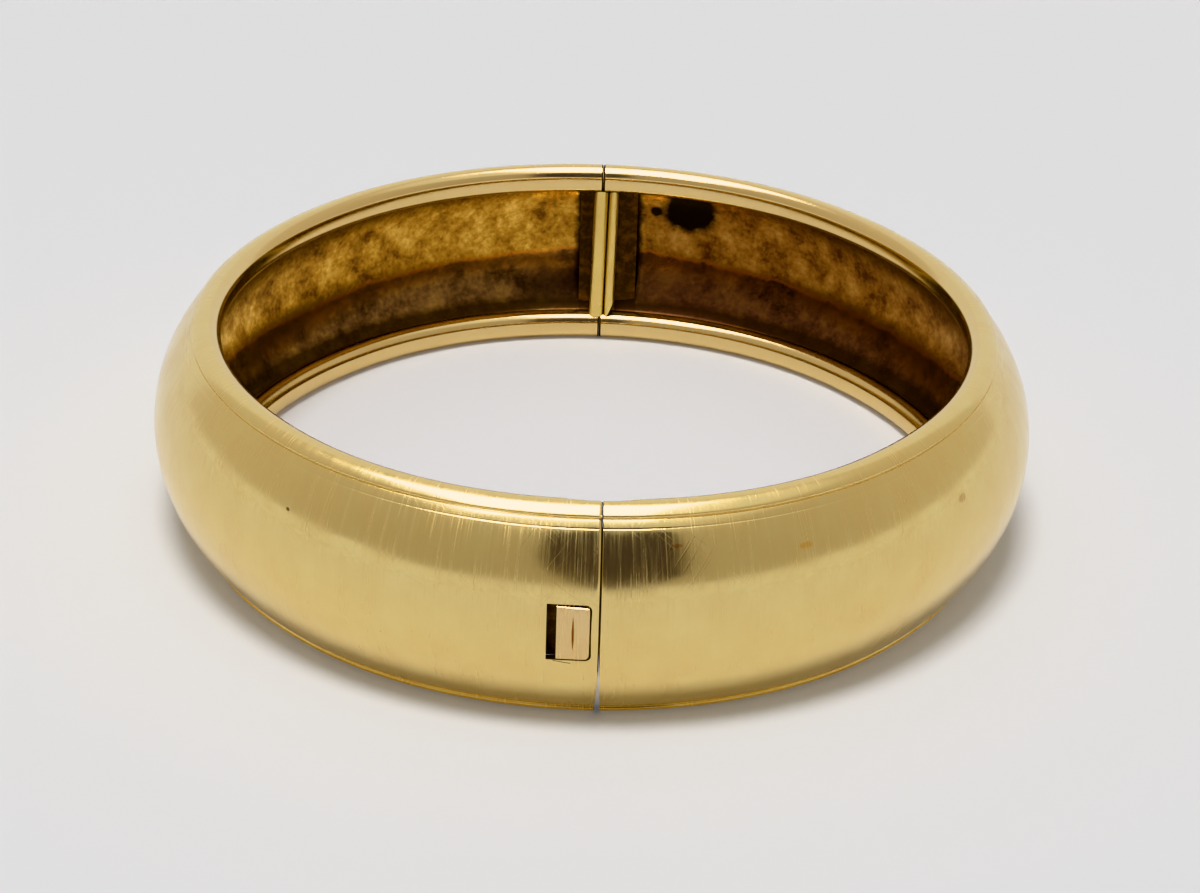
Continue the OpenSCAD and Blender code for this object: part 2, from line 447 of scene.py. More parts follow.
def combine(base: Mesh, others: list[tuple[str, Mesh]]) -> Mesh:
    """Cuts solids out of a solid, or joins them to it, one after the other.

    Args:
        base: The solid that is changed.
        others: For each of the others, DIFFERENCE, UNION or INTERSECT, and the solid.

    Returns:
        The result, in millimetres.
    """
    piece = add_object("work", base)
    tools = []
    for operation, other in others:
        tool = add_object("tool", other)
        tools.append(tool)
        step = piece.modifiers.new(operation, "BOOLEAN")
        step.operation = operation
        step.solver = "EXACT"
        step.object = tool
    bpy.context.view_layer.update()
    data = bpy.data.meshes.new_from_object(piece.evaluated_get(bpy.context.evaluated_depsgraph_get()))
    result = bmesh.new()
    result.from_mesh(data)
    bmesh.ops.scale(result, vec=(1 / MM, 1 / MM, 1 / MM), verts=result.verts)
    bmesh.ops.remove_doubles(result, verts=result.verts, dist=1e-4)
    bpy.data.meshes.remove(data)
    for o in [piece, *tools]:
        bpy.data.objects.remove(o)
    return result


def finish_piece(
    name: str,
    mesh: Mesh,
    materials: list[bpy.types.Material],
    body: str,
    node: str,
    smooth_deg: float = 30,
) -> bpy.types.Object:
    """Turns a mesh into a finished piece that rides on its body and stands for a solid of the frame.

    Args:
        name: Name of the piece.
        mesh: The mesh in millimetres, which is freed.
        materials: Its materials, in the order of its faces' indices.
        body: The body that it rides on.
        node: The solid that it stands for.
        smooth_deg: Angle up to which the surface is shaded smooth across an edge.

    Returns:
        The piece.
    """
    piece = add_object(name, mesh)
    for material in materials:
        piece.data.materials.append(material)
    piece.data.shade_smooth()
    piece.data.set_sharp_from_angle(angle=math.radians(smooth_deg))
    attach(piece, body)
    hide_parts(node)
    piece.data.calc_loop_triangles()
    log.info("%s: %d triangles, on %s", name, len(piece.data.loop_triangles), body)
    return piece


# Finishes


@dataclass(frozen=True)
class Mark:
    """A spot of another colour on the metal, with an uneven edge."""

    at: Triple
    size: Triple
    colour: str
    share: float = 1.0
    edge: Pair = (1.3, 1.65)

    def over(self, tree: Tree, place: Socket, noise: Socket, colour: Socket) -> Socket:
        """Lays the spot over a colour.

        Args:
            tree: The material's tree.
            place: The coordinates of the surface.
            noise: Noise that makes the spot's edge uneven.
            colour: The colour of the metal around it.

        Returns:
            The colour with the spot in it.
        """
        scale = [1 / (c * MM) for c in self.size]
        shift = [-a * MM * s for a, s in zip(self.at, scale)]
        shifted = add_node(tree, "Mapping", {"Vector": place, "Location": shift, "Scale": scale})[0]
        distance = add_node(tree, "VectorMath", {0: shifted}, operation="LENGTH")["Value"]
        uneven = add_node(tree, "Math", {0: noise, 1: 1.0, 2: distance}, operation="MULTIPLY_ADD")[0]
        low, high = self.edge
        mask = add_node(tree, "MapRange", {0: uneven, 1: low, 2: high, 3: self.share, 4: 0.0})[0]
        return add_node(tree, "Mix", {0: mask, 6: colour, 7: hex_colour(self.colour)}, data_type="RGBA")[2]


@dataclass(frozen=True)
class PolishedGold:
    """Yellow gold of 18 carat, machine polished and worn.

    It mirrors the room softly, uneven from the hammer and the wheel, and wear leaves fine upright
    lines, hairlines and a few marks in it. Real lines are finer than line_width: they are drawn as
    coarse as they need to be to show.
    """

    name: str = "polished_yellow_gold"
    colour: str = "#EEDA99"
    warm_colour: str = "#E6C684"
    roughness: Pair = (0.09, 0.19)
    line_width: float = 0.12
    line_stretch: float = 40
    line_height: float = 0.002
    line_roughness: float = 0.14
    line_edge: Pair = (0.48, 0.66)
    wave_size: float = 5.0
    wave_height: float = 0.05
    cloud_size: float = 3.0
    cloud_edge: Pair = (0.3, 0.7)
    patch_edge: Pair = (0.35, 0.6)
    patch_least: float = 0.25
    scratch_height: float = 0.0012
    marks: tuple[Mark, ...] = ()

    def build(self) -> bpy.types.Material:
        """Builds the material and returns it."""
        material, tree, place = empty_material(self.name)
        flat = unrolled(tree, place)
        upright = add_node(tree, "Mapping", {"Vector": flat, "Scale": (1, 1, 1 / self.line_stretch)})[0]
        lines = add_node(
            tree, "TexNoise",
            {"Vector": upright, "Scale": per_metre(self.line_width), "Detail": 3.0, "Roughness": 0.6},
        )[0]
        clouds = add_node(
            tree, "TexNoise",
            {"Vector": place, "Scale": per_metre(self.cloud_size), "Detail": 4.0, "Roughness": 0.6},
        )[0]
        colour = add_node(
            tree, "Mix",
            {0: clouds, 6: hex_colour(self.colour), 7: hex_colour(self.warm_colour)},
            data_type="RGBA",
        )[2]
        for mark in self.marks:
            colour = mark.over(tree, place, clouds, colour)
        cloudy, streaks, patches = (
            add_node(tree, "MapRange", {0: noise, 1: low, 2: high, 3: least, 4: most})[0]
            for noise, (low, high), (least, most) in (
                (clouds, self.cloud_edge, self.roughness),
                (lines, self.line_edge, (0.0, self.line_roughness)),
                (clouds, self.patch_edge, (self.patch_least, 1.0)),
            )
        )
        roughness = add_node(tree, "Math", {0: cloudy, 1: streaks}, operation="ADD")[0]
        waves = add_node(
            tree, "TexNoise",
            {"Vector": place, "Scale": per_metre(self.wave_size), "Detail": 1.0, "Roughness": 0.4},
        )[0]
        uneven = add_node(
            tree, "Bump", {"Height": waves, "Strength": 1.0, "Distance": self.wave_height * MM}
        )[0]
        patchy = add_node(tree, "Math", {0: lines, 1: patches}, operation="MULTIPLY")[0]
        brushed = add_node(
            tree, "Bump",
            {"Height": patchy, "Strength": 1.0, "Distance": self.line_height * MM, "Normal": uneven},
        )[0]
        scratched = hairlines(tree, flat, brushed, self.scratch_height)
        bare_metal(tree, {"Base Color": colour, "Roughness": roughness, "Normal": scratched})
        return material


def hairlines(tree: Tree, place: Socket, normal: Socket, height: float) -> Socket:
    """Adds sparse hairline scratches in two directions, as wear leaves them on soft metal.

    Real ones are finer: they are drawn as coarse as they need to be to show.

    Args:
        tree: The material's tree.
        place: The unrolled coordinates of the surface.
        normal: The normal that the scratches are added to.
        height: Depth of the scratches, in millimetres.

    Returns:
        The scratched normal.
    """
    width = 0.16
    stretch = 24
    from_level, to_level = 0.63, 0.69
    result = normal
    for turn_deg, offset in ((38, 0.0), (-52, 0.013)):
        turned = add_node(
            tree, "Mapping",
            {
                "Vector": place,
                "Location": (offset, 0, 0),
                "Rotation": (0, math.radians(turn_deg), 0),
                "Scale": (1, 1, stretch),
            },
            vector_type="TEXTURE",
        )[0]
        streaks = add_node(
            tree, "TexNoise", {"Vector": turned, "Scale": per_metre(width), "Detail": 1.0, "Roughness": 0.4}
        )[0]
        cut = add_node(tree, "MapRange", {0: streaks, 1: from_level, 2: to_level, 3: 1.0, 4: 0.0})[0]
        result = add_node(
            tree, "Bump", {"Height": cut, "Strength": 1.0, "Distance": height * MM, "Normal": result}
        )[0]
    return result


@dataclass(frozen=True)
class TarnishedGold:
    """The unpolished inside of the sheet: gold under a brown film of tarnish, mottled and rubbed.

    The film keeps some of the metal's mirror. Along the foot of the band it is darker below a wavy edge, a
    painted dark reflection, and lighter above it, a painted bright reflection, with a painted reflection line
    along the edge. Beside the bars it is darkest, painted shade; there is a dark band along the lower wire's
    joint, and it is redder on the right.
    """

    name: str = "tarnished_gold_inside"
    film_under_bright_reflection: tuple[str, str, str] = ("#6A4526", "#B6863F", "#EABE66")
    film_under_dark_reflection: tuple[str, str, str] = ("#4A3626", "#86694F", "#B08A5C")
    reflection_edge_colour: str = "#D98A3C"
    bar_shade_and_joint_colour: str = "#2A1A10"
    right_tint: str = "#C0B2C4"
    roughness: Pair = (0.16, 0.28)
    mottle_size: float = 2.6
    grain_size: float = 0.35
    dark_reflection_z: float = 6.7
    dark_reflection_slope: float = 0.068
    tint_zone: Pair = (-4.0, 6.0)
    bar_shade_zone: Pair = (-1.4, 3.9)
    joint_z: float = 2.7
    film_stops: Triple = (0.47, 0.62, 0.79)
    grain_height: float = 0.0015
    scratch_height: float = 0.0016
    marks: tuple[Mark, ...] = (
        Mark(at=(7.8, 32.7, 10.7), size=(2.4, 3.0, 2.2), colour="#120C09"),
        Mark(at=(5.14, 33.4, 10.32), size=(0.5, 1.5, 0.5), colour="#1A120D"),
    )

    def build(self) -> bpy.types.Material:
        """Builds the material and returns it."""
        material, tree, place = empty_material(self.name)
        split = add_node(tree, "SeparateXYZ", {0: place})
        mottle = add_node(
            tree, "TexNoise",
            {
                "Vector": place,
                "Scale": per_metre(self.mottle_size),
                "Detail": 8.0,
                "Roughness": 0.66,
                "Distortion": 0.1,
            },
        )[0]
        grain = add_node(
            tree, "TexNoise",
            {"Vector": place, "Scale": per_metre(self.grain_size), "Detail": 2.0, "Roughness": 0.5},
        )[0]
        mix = add_node(tree, "Math", {0: grain, 1: 0.25, 2: mottle}, operation="MULTIPLY_ADD")[0]
        # Painted reflections over the real mottled film: lighter above a wavy edge, darker below it.
        above = self.height_above_dark_reflection(tree, split, mottle)
        lower = add_node(tree, "MapRange", {0: above, 1: -0.12 * MM, 2: 0.1 * MM, 3: 1.0, 4: 0.0})[0]
        colour = add_node(
            tree, "Mix",
            {0: lower, 6: self.film(tree, mix, self.film_under_bright_reflection), 7: self.film(tree, mix, self.film_under_dark_reflection)},
            data_type="RGBA",
        )[2]
        # An orange line along that edge: painted reflection.
        off_edge = add_node(tree, "Math", {0: above}, operation="ABSOLUTE")[0]
        on_edge = add_node(tree, "MapRange", {0: off_edge, 1: 0.04 * MM, 2: 0.2 * MM, 3: 0.55, 4: 0.0})[0]
        from_x, to_x = (x * MM for x in self.tint_zone)
        right = add_node(tree, "MapRange", {0: split[0], 1: from_x, 2: to_x, 3: 0.0, 4: 1.0})[0]
        # Then the reflection line, the tint on the right, and the painted shade beside the bars with the dark
        # band along the joint.
        for share, layer, blend in (
            (on_edge, self.reflection_edge_colour, "MIX"),
            (right, self.right_tint, "MULTIPLY"),
            (self.bar_shade_and_joint(tree, split, mottle), self.bar_shade_and_joint_colour, "MIX"),
        ):
            colour = add_node(
                tree, "Mix", {0: share, 6: colour, 7: hex_colour(layer)}, data_type="RGBA", blend_type=blend
            )[2]
        for mark in self.marks:
            colour = mark.over(tree, place, mottle, colour)
        low, high = self.roughness
        roughness = add_node(tree, "MapRange", {0: mottle, 1: 0.35, 2: 0.65, 3: high, 4: low})[0]
        bumped = add_node(
            tree, "Bump", {"Height": grain, "Strength": 1.0, "Distance": self.grain_height * MM}
        )[0]
        scratched = hairlines(tree, unrolled(tree, place), bumped, self.scratch_height)
        bare_metal(tree, {"Base Color": colour, "Roughness": roughness, "Normal": scratched})
        return material

    def film(self, tree: Tree, mix: Socket, colours: tuple[str, str, str]) -> Socket:
        """Colours the film: dark, plain and rubbed, as the noise rises.

        Args:
            tree: The material's tree.
            mix: The noise.
            colours: The dark, the plain and the rubbed colour.

        Returns:
            The film's colour.
        """
        ramp = add_node(tree, "ValToRGB", {0: mix})
        stops = ramp[0].node.color_ramp.elements
        dark, plain, rubbed = (hex_colour(c) for c in colours)
        low, middle, high = self.film_stops
        stops[0].position = low
        stops[0].color = dark
        stops[1].position = high
        stops[1].color = rubbed
        stops.new(middle).color = plain
        return ramp[0]

    def height_above_dark_reflection(self, tree: Tree, split: Socket, mottle: Socket) -> Socket:
        """Measures how far the surface lies above the wavy edge of the painted dark reflection.

        Args:
            tree: The material's tree.
            split: The coordinates of the surface, x, y and z apart.
            mottle: Noise that makes the edge wavy.

        Returns:
            The height above the edge, in metres.
        """
        aside = add_node(tree, "Math", {0: split[0]}, operation="ABSOLUTE")[0]
        leaning = add_node(
            tree, "Math", {0: aside, 1: self.dark_reflection_slope, 2: split[2]}, operation="MULTIPLY_ADD"
        )[0]
        wavy = add_node(tree, "Math", {0: mottle, 1: 1.6 * MM, 2: leaning}, operation="MULTIPLY_ADD")[0]
        edge = (self.dark_reflection_z + 0.8) * MM
        return add_node(tree, "Math", {0: wavy, 1: edge}, operation="SUBTRACT")[0]

    def bar_shade_and_joint(self, tree: Tree, split: Socket, mottle: Socket) -> Socket:
        """Masks the painted shade beside the bars, and a dark band along the lower wire's joint.

        Args:
            tree: The material's tree.
            split: The coordinates of the surface, x, y and z apart.
            mottle: Noise that makes the mask's edge uneven.

        Returns:
            1 where it is darkened and 0 elsewhere.
        """
        low, high = self.bar_shade_zone
        from_middle = add_node(
            tree, "Math", {0: split[0], 1: (low + high) / 2 * MM}, operation="SUBTRACT"
        )[0]
        aside = add_node(tree, "Math", {0: from_middle}, operation="ABSOLUTE")[0]
        beside = add_node(tree, "Math", {0: mottle, 1: 1.6 * MM, 2: aside}, operation="MULTIPLY_ADD")[0]
        reach = ((high - low) / 2 + 0.8) * MM
        bars = add_node(
            tree, "MapRange", {0: beside, 1: reach - 0.15 * MM, 2: reach + 0.25 * MM, 3: 0.93, 4: 0.0}
        )[0]
        over_joint = add_node(
            tree, "Math", {0: mottle, 1: 0.8 * MM, 2: split[2]}, operation="MULTIPLY_ADD"
        )[0]
        edge = (self.joint_z + 0.4) * MM
        joint = add_node(
            tree, "MapRange", {0: over_joint, 1: edge - 0.3 * MM, 2: edge + 0.3 * MM, 3: 0.85, 4: 0.0}
        )[0]
        return add_node(tree, "Math", {0: bars, 1: joint}, operation="MAXIMUM")[0]


@dataclass(frozen=True)
class PaintedShadeGold:
    """Gold darkened to brown, in uneven patches: painted shade in the seams, the window and the catch, and
    behind the hinge's lips.
    """

    name: str = "gold_in_painted_shade"
    dark_colour: str = "#3C2A1C"
    lighter_shade_colour: str = "#74502E"
    roughness: float = 0.45
    patch_size: float = 0.8

    def build(self) -> bpy.types.Material:
        """Builds the material and returns it."""
        material, tree, place = empty_material(self.name)
        patches = add_node(
            tree, "TexNoise",
            {"Vector": place, "Scale": per_metre(self.patch_size), "Detail": 5.0, "Roughness": 0.65},
        )[0]
        # Lighter brown patches within the painted shade.
        film = add_node(tree, "MapRange", {0: patches, 1: 0.45, 2: 0.75, 3: 0.0, 4: 1.0})[0]
        colour = add_node(
            tree, "Mix",
            {0: film, 6: hex_colour(self.dark_colour), 7: hex_colour(self.lighter_shade_colour)},
            data_type="RGBA",
        )[2]
        bare_metal(tree, {"Base Color": colour, "Roughness": self.roughness})
        return material


@dataclass(frozen=True)
class Finishes:
    """All the bangle's materials, built once."""

    outside: bpy.types.Material
    rim: bpy.types.Material
    inside: bpy.types.Material
    painted_shade: bpy.types.Material
    bar: bpy.types.Material
    rose: bpy.types.Material
    filed: bpy.types.Material
    pin: bpy.types.Material

    @staticmethod
    def build() -> "Finishes":
        """Builds the materials and returns them."""
        marks = (
            Mark(at=(13.7, -30.31, 12.03), size=(0.5, 0.9, 0.2), colour="#E6A83C", share=0.45),
            Mark(at=(24.81, -20.66, 10.98), size=(0.4, 0.6, 0.3), colour="#A06A30", share=0.35),
            Mark(at=(5.37, -32.73, 12.95), size=(0.3, 0.6, 0.1), colour="#D88A4A", share=0.6),
            Mark(at=(-19.9, -26.11, 11.51), size=(0.12, 0.3, 0.1), colour="#5A3C1C", share=0.8),
        )
        outside = PolishedGold(marks=marks).build()
        rim = PolishedGold(
            name="polished_gold_wire",
            colour="#EBD198",
            warm_colour="#E6C889",
            roughness=(0.1, 0.17),
            line_roughness=0.05,
            line_height=0.0006,
            wave_height=0.012,
            scratch_height=0.001,
        ).build()
        bar = PolishedGold(
            name="filed_gold_bar",
            colour="#F6DC8E",
            warm_colour="#ECCB7C",
            roughness=(0.26, 0.36),
            line_height=0.001,
            wave_height=0.02,
        ).build()
        rose = PolishedGold(
            name="satin_rose_gold",
            colour="#EBD09C",
            warm_colour="#E2C088",
            roughness=(0.18, 0.26),
            line_height=0.0008,
            wave_height=0.01,
            scratch_height=0.001,
        ).build()
        filed = PolishedGold(
            name="filed_rose_gold_line",
            colour="#BE8E50",
            warm_colour="#AE7C42",
            roughness=(0.35, 0.45),
            line_height=0.0004,
            wave_height=0.0,
        ).build()
        pin = PolishedGold(
            name="drawn_gold_wire",
            colour="#E3C37C",
            warm_colour="#D9B468",
            roughness=(0.2, 0.28),
            line_height=0.0003,
            wave_height=0.0,
        ).build()
        return Finishes(outside, rim, TarnishedGold().build(), PaintedShadeGold().build(), bar, rose, filed, pin)


# The band


class Skin(Enum):
    """What a stretch of the band's surface is, as the index of its material."""

    OUTSIDE = 0
    RIM = 1
    INSIDE = 2
    CUT = 3


@dataclass(frozen=True)
class Band:
    """The oval band: a domed sheet with a rounded wire along each edge.

    Distances outwards are measured from the wires' inner faces.
    """

    height: float
    seam_x: float
    hinge_y: float
    hinge_r: float = 3.85
    oval: float = 0.9
    thickness: float = 4.9
    sheet_t: float = 0.6
    rim_w: float = 2.1
    rim_h: float = 2.25
    rim_round: float = 0.95
    rim_crown: float = 1.6
    dome_edge_d: float = 0.75
    groove_r: float = 0.12
    groove_up: float = 0.1
    bead_w: float = 0.34
    bead_groove_r: float = 0.2
    bead_raise: float = 0.19
    lip_r: float = 0.04
    bead_lip_r: float = 0.02
    seam_gap: float = 0.04
    seam_foot_gap: float = 0.42
    seam_foot_h: float = 4.5
    seam_foot_l: float = 2.0
    seam_cut_l: float = 0.7
    window_zone: Pair = (3.2, 5.0)
    # Widths of the painted shade beside the front and the back seam.
    seam_dark_w: float = 0.055
    back_dark_w: float = 0.145
    wear_l: float = 2.9
    wear_d: float = 0.32
    wall_inset: float = 0.2
    wall_seat: float = 0.4
    lip_gap: float = 0.09

    @property
    def half_d(self) -> float:
        """Half the depth of the wrist opening."""
        return self.hinge_y - self.hinge_r

    @property
    def arc_c(self) -> float:
        """Distance from the middle to the centre of each arc of the oval."""
        return 5.741 * self.oval

    @property
    def end_r(self) -> float:
        """Inner radius of the arcs at the hinge and the catch."""
        return self.half_d - self.arc_c

    @property
    def side_r(self) -> float:
        """Inner radius of the flatter arcs at the sides."""
        return self.end_r + 8.119 * self.oval

    @property
    def mid_h(self) -> float:
        """Height of the dome's crown."""
        return self.height / 2

    @property
    def dome_r(self) -> float:
        """Radius of the dome's outer arc."""
        rise = self.thickness - self.rim_w
        half_h = self.mid_h - self.dome_edge_d
        return (half_h**2 + rise**2) / (2 * rise)

    @property
    def dome_c(self) -> Pair:
        """Centre of the dome's arcs, in the section."""
        return (self.thickness - self.dome_r, self.mid_h)

    def dome_at(self, z: float, inset: float = 0) -> float:
        """Distance outwards of the dome's surface at a height, or of a surface that lies inside it."""
        return self.dome_c[0] + math.sqrt((self.dome_r - inset) ** 2 - (z - self.mid_h) ** 2)

    def section(self) -> Pen:
        """Draws the lower half of the band's section, mirrors it, and returns the closed outline."""
        inner = self.rim_round
        outer = (inner, self.rim_crown)
        back = (self.rim_w - inner, self.rim_h - inner)
        groove = (self.rim_w, self.dome_edge_d - self.groove_up)
        inner_r = self.dome_r - self.sheet_t
        dome_lip = circles_meet(self.dome_c, self.dome_r, groove, self.groove_r, left=True)
        rim_lip = circles_meet(outer, self.rim_crown, groove, self.groove_r, left=False)
        joint = circles_meet(back, inner, self.dome_c, inner_r, left=False)
        bead_z = self.dome_edge_d + self.bead_w
        bead = (self.dome_at(bead_z, -self.bead_raise), bead_z)
        bead_lips = [
            circles_meet(self.dome_c, self.dome_r, bead, self.bead_groove_r, left) for left in (True, False)
        ]
        pen = Pen(self.thickness, self.mid_h)
        bead_edges = [pen.arc_to(self.dome_c, bead_lips[0], 18)]
        bead_edges.append(pen.arc_to(bead, bead_lips[1], 4, clockwise=False))
        lips = [pen.arc_to(self.dome_c, dome_lip, 2)]
        lips.append(pen.arc_to(groove, rim_lip, 6, clockwise=False))
        pen.arc_to(outer, (inner, 0), 9)
        pen.arc_to((inner, inner), (0, inner), 9)
        pen.line_to(0, self.rim_h - inner)
        pen.arc_to((inner, self.rim_h - inner), (inner, self.rim_h), 9)
        pen.line_to(back[0], self.rim_h)
        corner = pen.arc_to(back, joint, 5)
        pen.arc_to(self.dome_c, (self.thickness - self.sheet_t, self.mid_h), 13, clockwise=False)
        for verts, width in ((bead_edges, self.bead_lip_r), (lips, self.lip_r), ([corner], 0.1)):
            bmesh.ops.bevel(
                pen.mesh,
                geom=verts,
                offset=width,
                offset_type="OFFSET",
                segments=3,
                profile=0.5,
                affect="VERTICES",
                material=-1,
            )
        move(pen.mesh, (0, 0, -self.mid_h))
        bmesh.ops.mirror(
            pen.mesh,
            geom=pen.mesh.verts[:] + pen.mesh.edges[:],
            matrix=Matrix.Identity(4),
            merge_dist=1e-3,
            axis="Z",
        )
        move(pen.mesh, (0, 0, self.mid_h))
        return pen

    def seam(self, side: Side) -> float:
        """x of a half's edge at the seams."""
        return self.seam_x + side.value * self.seam_gap / 2

    def skin_at(self, face: bmesh.types.BMFace) -> Skin:
        """Tells what kind of surface a face of the band is, from its place and direction."""
        at = face.calc_center_median()
        outwards, z = self.locate(at)
        beside = abs(at.x - self.seam_x)
        # Faces in the seams and within a dark width of them, and the window's walls, take the painted shade.
        if abs(face.normal.x) > 0.8 and beside < self.seam_cut_l:
            return Skin.CUT
        if beside < (self.back_dark_w if at.y > 0 else self.seam_dark_w):
            return Skin.CUT
        in_window = abs(at.x) < self.window_zone[0] and abs(z - self.mid_h) < self.window_zone[1]
        if abs(face.normal.y) < 0.5 and in_window and outwards > self.rim_w:
            return Skin.CUT
        depth = self.dome_r - math.hypot(outwards - self.dome_c[0], z - self.mid_h)
        in_rim_h = z < self.rim_h or z > self.height - self.rim_h
        if in_rim_h and outwards < self.rim_w - 0.03 and depth > self.sheet_t / 2:
            return Skin.RIM
        return Skin.OUTSIDE if depth < self.sheet_t / 2 else Skin.INSIDE

    def locate(self, point: Vector) -> Pair:
        """Gives a point's distance outwards from the wires' inner faces, and its height."""
        for sign in (-1, 1):
            from_end = Vector((point.x, point.y - sign * self.arc_c))
            if from_end.y * sign >= abs(from_end.x):
                return from_end.length - self.end_r, point.z
        sideways = Vector((abs(point.x) + self.arc_c, point.y))
        return sideways.length - self.side_r, point.z

    def across(self, pen: Pen, low_x: float, high_x: float) -> Mesh:
        """Turns an outline of the band's section into a solid across the band at the back.

        Args:
            pen: The outline, in distances outwards and heights.
            low_x: Lowest x of the solid.
            high_x: Highest x of the solid.

        Returns:
            The solid.
        """
        mesh = prism(pen, -high_x, -low_x)
        turn_about(mesh, "Z", math.radians(90))
        move(mesh, (0, self.half_d, 0))
        return mesh

    def wall(self, from_r: float, low_x: float, high_x: float) -> Mesh:
        """A wall across the band at the back, from a distance outwards as far as the dome's sheet."""
        inset = self.sheet_t / 2
        dome_half_h = math.sqrt((self.dome_r - inset) ** 2 - (from_r - self.dome_c[0]) ** 2)
        half_h = min(self.mid_h - self.rim_h + self.wall_seat, dome_half_h)
        low, high = self.mid_h - half_h, self.mid_h + half_h
        pen = Pen(from_r, low)
        if half_h < dome_half_h:
            pen.line_to(self.dome_at(low, inset), low)
        pen.arc_to(self.dome_c, (self.dome_at(high, inset), high), 24, clockwise=False)
        if half_h < dome_half_h:
            pen.line_to(from_r, high)
        return self.across(pen, low_x, high_x)

    def rim_rooms(self, low_x: float, high_x: float) -> list[Mesh]:
        """Round rooms at the back, about the rounding of both rims, that a lip keeps clear of."""
        rooms = []
        for z in (self.rim_h - self.rim_round, self.height - self.rim_h + self.rim_round):
            centre = ((low_x + high_x) / 2, self.half_d + self.rim_round, z)
            place = Matrix.Translation(centre) @ Matrix.Rotation(math.radians(90), 4, "Y")
            room = bmesh.new()
            radius = self.rim_round + self.lip_gap
            bmesh.ops.create_cone(
                room,
                cap_ends=True,
                segments=64,
                radius1=radius,
                radius2=radius,
                depth=high_x - low_x,
                matrix=place,
            )
            rooms.append(room)
        return rooms


class Sweep:
    """Sweeps the band's section round one half of the oval, from the front seam to the back one."""

    def __init__(self, band: Band, side: Side) -> None:
        """Stands the section in the front seam, on the half's side.

        Args:
            band: The band's sizes.
            side: The half.
        """
        self.band = band
        self.side = side
        self.mesh = band.section().mesh
        self.angle = side.value * math.asin(band.seam(side) / (band.end_r + band.thickness))
        self.last: list = self.mesh.verts[:] + self.mesh.edges[:]
        move(self.mesh, (band.end_r, 0, 0))
        turn_about(self.mesh, "Z", side.value * self.angle - math.pi / 2)
        move(self.mesh, (0, -band.arc_c, 0))
        self.flatten(-band.arc_c)
        self.front = self.edges()

    def edges(self) -> list[Edge]:
        """The edges of the section where the sweep stands."""
        return only(self.last, Edge)

    def turn(self, centre: Pair, angle: float, steps: int) -> None:
        """Sweeps the section on by an angle about an upright axis, away from the front seam."""
        self.last = spin(self.mesh, self.last, (*centre, 0), self.side.value * angle, steps)

    def flatten(self, centre_y: float) -> None:
        """Moves the section where the sweep stands into the seam's plane, along the end arc that it is on."""
        x = self.band.seam(self.side)
        way = math.copysign(1, centre_y)
        for vert in only(self.last, Vert):
            radius = math.hypot(vert.co.x, vert.co.y - centre_y)
            vert.co.x = x
            vert.co.y = centre_y + way * math.sqrt(radius**2 - x**2)

    def run(self) -> Mesh:
        """Sweeps the whole half, and returns its skin with both seams closed."""
        centre = self.band.arc_c
        eighth = math.radians(45)
        self.turn((0, -centre), eighth - self.angle, 48)
        self.turn((-self.side.value * centre, 0), 2 * eighth, 60)
        self.turn((0, centre), eighth - self.angle, 48)
        self.flatten(centre)
        for edges in (self.front, self.edges()):
            bmesh.ops.contextual_create(self.mesh, geom=edges)
        bmesh.ops.recalc_face_normals(self.mesh, faces=self.mesh.faces)
        return self.mesh


